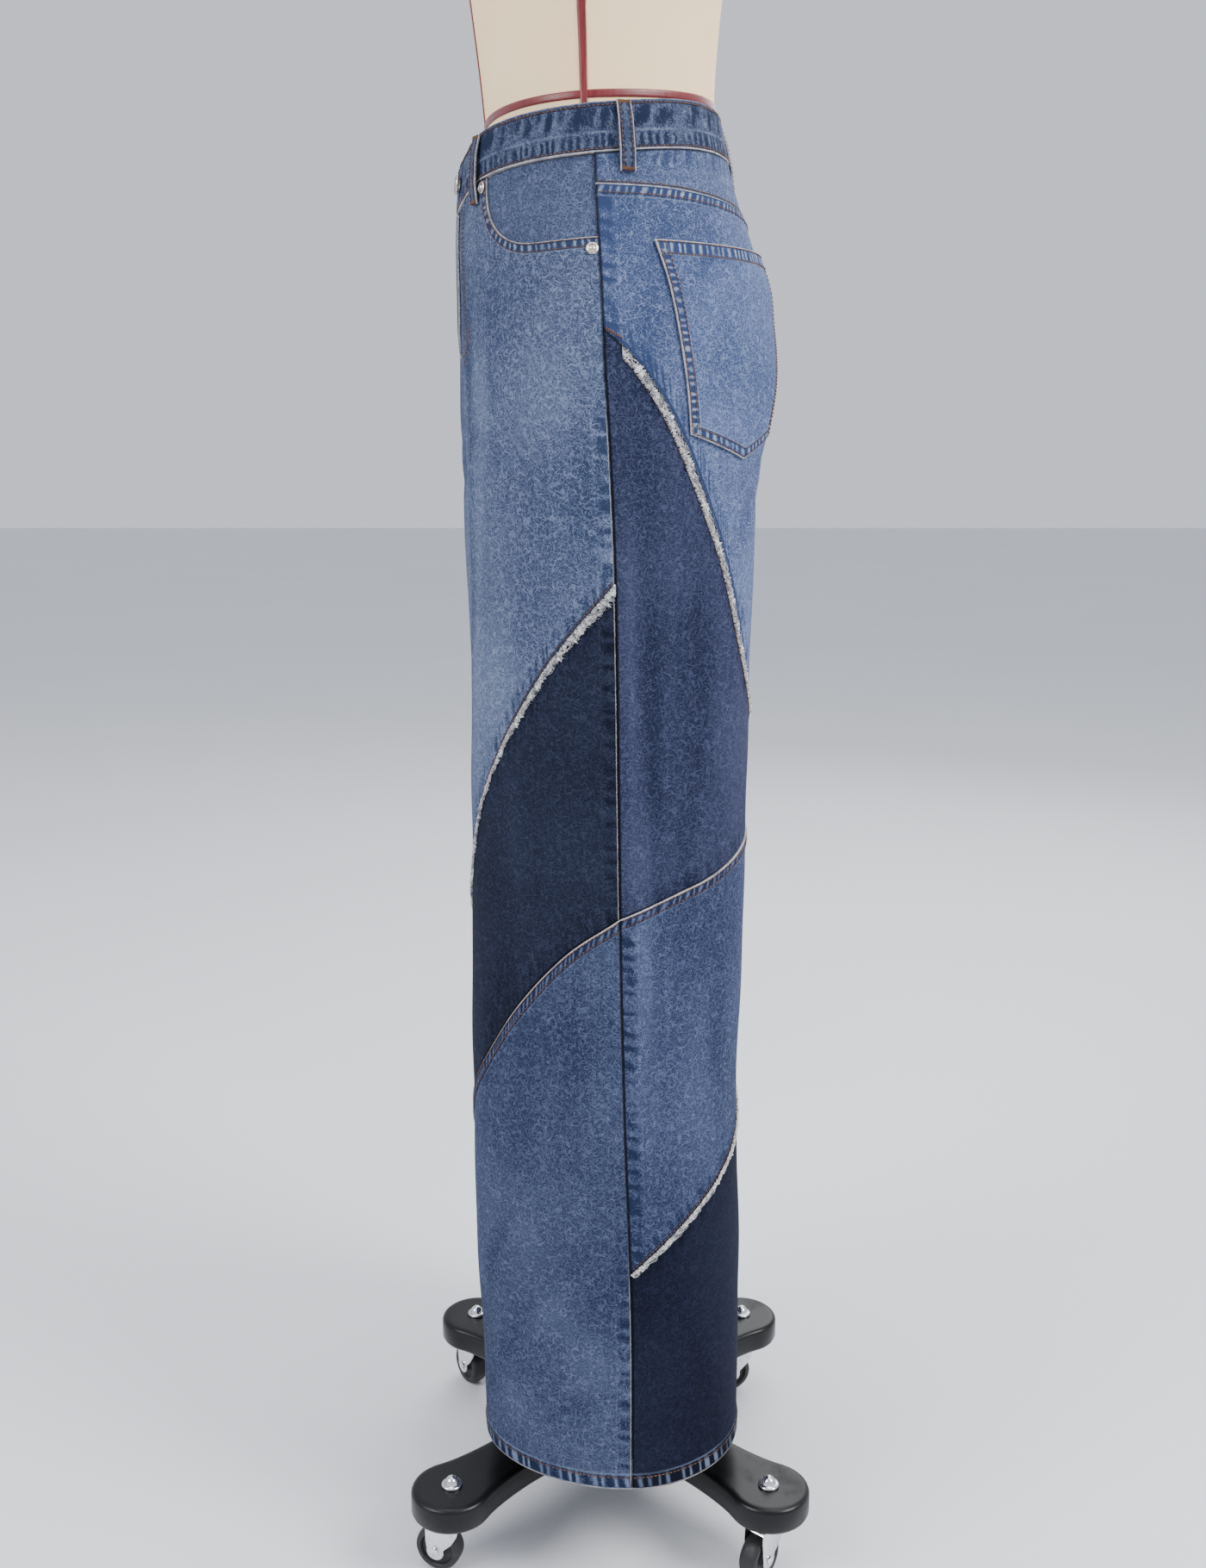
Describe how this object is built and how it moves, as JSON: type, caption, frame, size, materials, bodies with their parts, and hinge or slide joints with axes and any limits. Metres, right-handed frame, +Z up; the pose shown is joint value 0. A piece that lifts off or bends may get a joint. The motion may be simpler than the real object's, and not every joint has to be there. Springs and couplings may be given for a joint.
{
  "type": "wide-leg jeans on a dress form with a caster stand",
  "caption": "Wide-leg patchwork jeans with frayed seams and patch pockets, worn by a limbless dress form on a wheeled stand.",
  "frame": {"origin": "on the floor, at the middle of the bounding box seen from above", "axes": "+Z up; the front of the jeans faces -Y; the wearer's left is +X"},
  "size_m": [0.3932, 0.3292, 1.61],
  "materials": {
    "light_denim": "washed mid-blue twill, worn pale along the seams",
    "dark_denim": "deep indigo twill, lightly worn",
    "fray": "off-white loose cotton threads",
    "metal_trim": "dull plated steel",
    "form_canvas": "cream canvas drawn smooth over the form",
    "black_paint": "semi-matt black paint",
    "chrome": "bright plated steel",
    "wheel_rubber": "smooth black rubber"
  },
  "bodies": {
    "dressed_stand": {"left_front_upper": "light_denim", "left_front_middle": "dark_denim", "left_front_lower": "light_denim", "left_yoke": "light_denim", "left_back_upper": "light_denim", "left_back_middle": "dark_denim", "left_back_lower": "light_denim", "left_back_bottom": "dark_denim", "left_pocket_facing": "light_denim", "left_back_pocket": "light_denim", "left_front_fray": "fray", "left_back_fray": "fray", "left_calf_fray": "fray", "left_front_loop": "light_denim", "left_side_loop": "light_denim", "left_side_rivet": "metal_trim", "left_front_rivet": "metal_trim", "right_front_upper": "light_denim", "right_front_middle": "dark_denim", "right_front_lower": "light_denim", "right_yoke": "light_denim", "right_back_upper": "light_denim", "right_back_middle": "dark_denim", "right_back_lower": "light_denim", "right_back_bottom": "dark_denim", "right_pocket_facing": "light_denim", "right_back_pocket": "light_denim", "right_front_fray": "fray", "right_back_fray": "fray", "right_calf_fray": "fray", "right_front_loop": "light_denim", "right_side_loop": "light_denim", "right_side_rivet": "metal_trim", "right_front_rivet": "metal_trim", "back_loop": "light_denim", "waistband": "light_denim", "fly": "light_denim", "button": "metal_trim", "form_torso": "form_canvas", "base": "black_paint", "pole": "black_paint", "front_left_nut": "chrome", "front_right_nut": "chrome", "rear_left_nut": "chrome", "rear_right_nut": "chrome"},
    "front_left_caster": {"front_left_fork": "chrome"},
    "front_left_caster_wheel": {"front_left_wheel": "wheel_rubber"},
    "front_right_caster": {"front_right_fork": "chrome"},
    "front_right_caster_wheel": {"front_right_wheel": "wheel_rubber"},
    "rear_left_caster": {"rear_left_fork": "chrome"},
    "rear_left_caster_wheel": {"rear_left_wheel": "wheel_rubber"},
    "rear_right_caster": {"rear_right_fork": "chrome"},
    "rear_right_caster_wheel": {"rear_right_wheel": "wheel_rubber"}
  },
  "joints": [
    {"name": "front_left_swivel", "type": "hinge", "parent": "dressed_stand", "child": "front_left_caster", "pos_m": [0.1615, -0.131, 0.056], "axis": [0, 0, 1], "continuous": true},
    {"name": "front_left_roll", "type": "hinge", "parent": "front_left_caster", "child": "front_left_caster_wheel", "pos_m": [0.1574, -0.14228, 0.0195], "axis": [0.9397, -0.342, 0], "continuous": true},
    {"name": "front_right_swivel", "type": "hinge", "parent": "dressed_stand", "child": "front_right_caster", "pos_m": [-0.1005, -0.131, 0.056], "axis": [0, 0, 1], "continuous": true},
    {"name": "front_right_roll", "type": "hinge", "parent": "front_right_caster", "child": "front_right_caster_wheel", "pos_m": [-0.11033, -0.13788, 0.0195], "axis": [0.5736, -0.8192, 0], "continuous": true},
    {"name": "rear_left_swivel", "type": "hinge", "parent": "dressed_stand", "child": "rear_left_caster", "pos_m": [0.1615, 0.131, 0.056], "axis": [0, 0, 1], "continuous": true},
    {"name": "rear_left_roll", "type": "hinge", "parent": "rear_left_caster", "child": "rear_left_caster_wheel", "pos_m": [0.17069, 0.12329, 0.0195], "axis": [0.6428, 0.766, 0], "continuous": true},
    {"name": "rear_right_swivel", "type": "hinge", "parent": "dressed_stand", "child": "rear_right_caster", "pos_m": [-0.1005, 0.131, 0.056], "axis": [0, 0, 1], "continuous": true},
    {"name": "rear_right_roll", "type": "hinge", "parent": "rear_right_caster", "child": "rear_right_caster_wheel", "pos_m": [-0.09739, 0.11941, 0.0195], "axis": [0.9659, 0.2588, 0], "continuous": true}
  ]
}
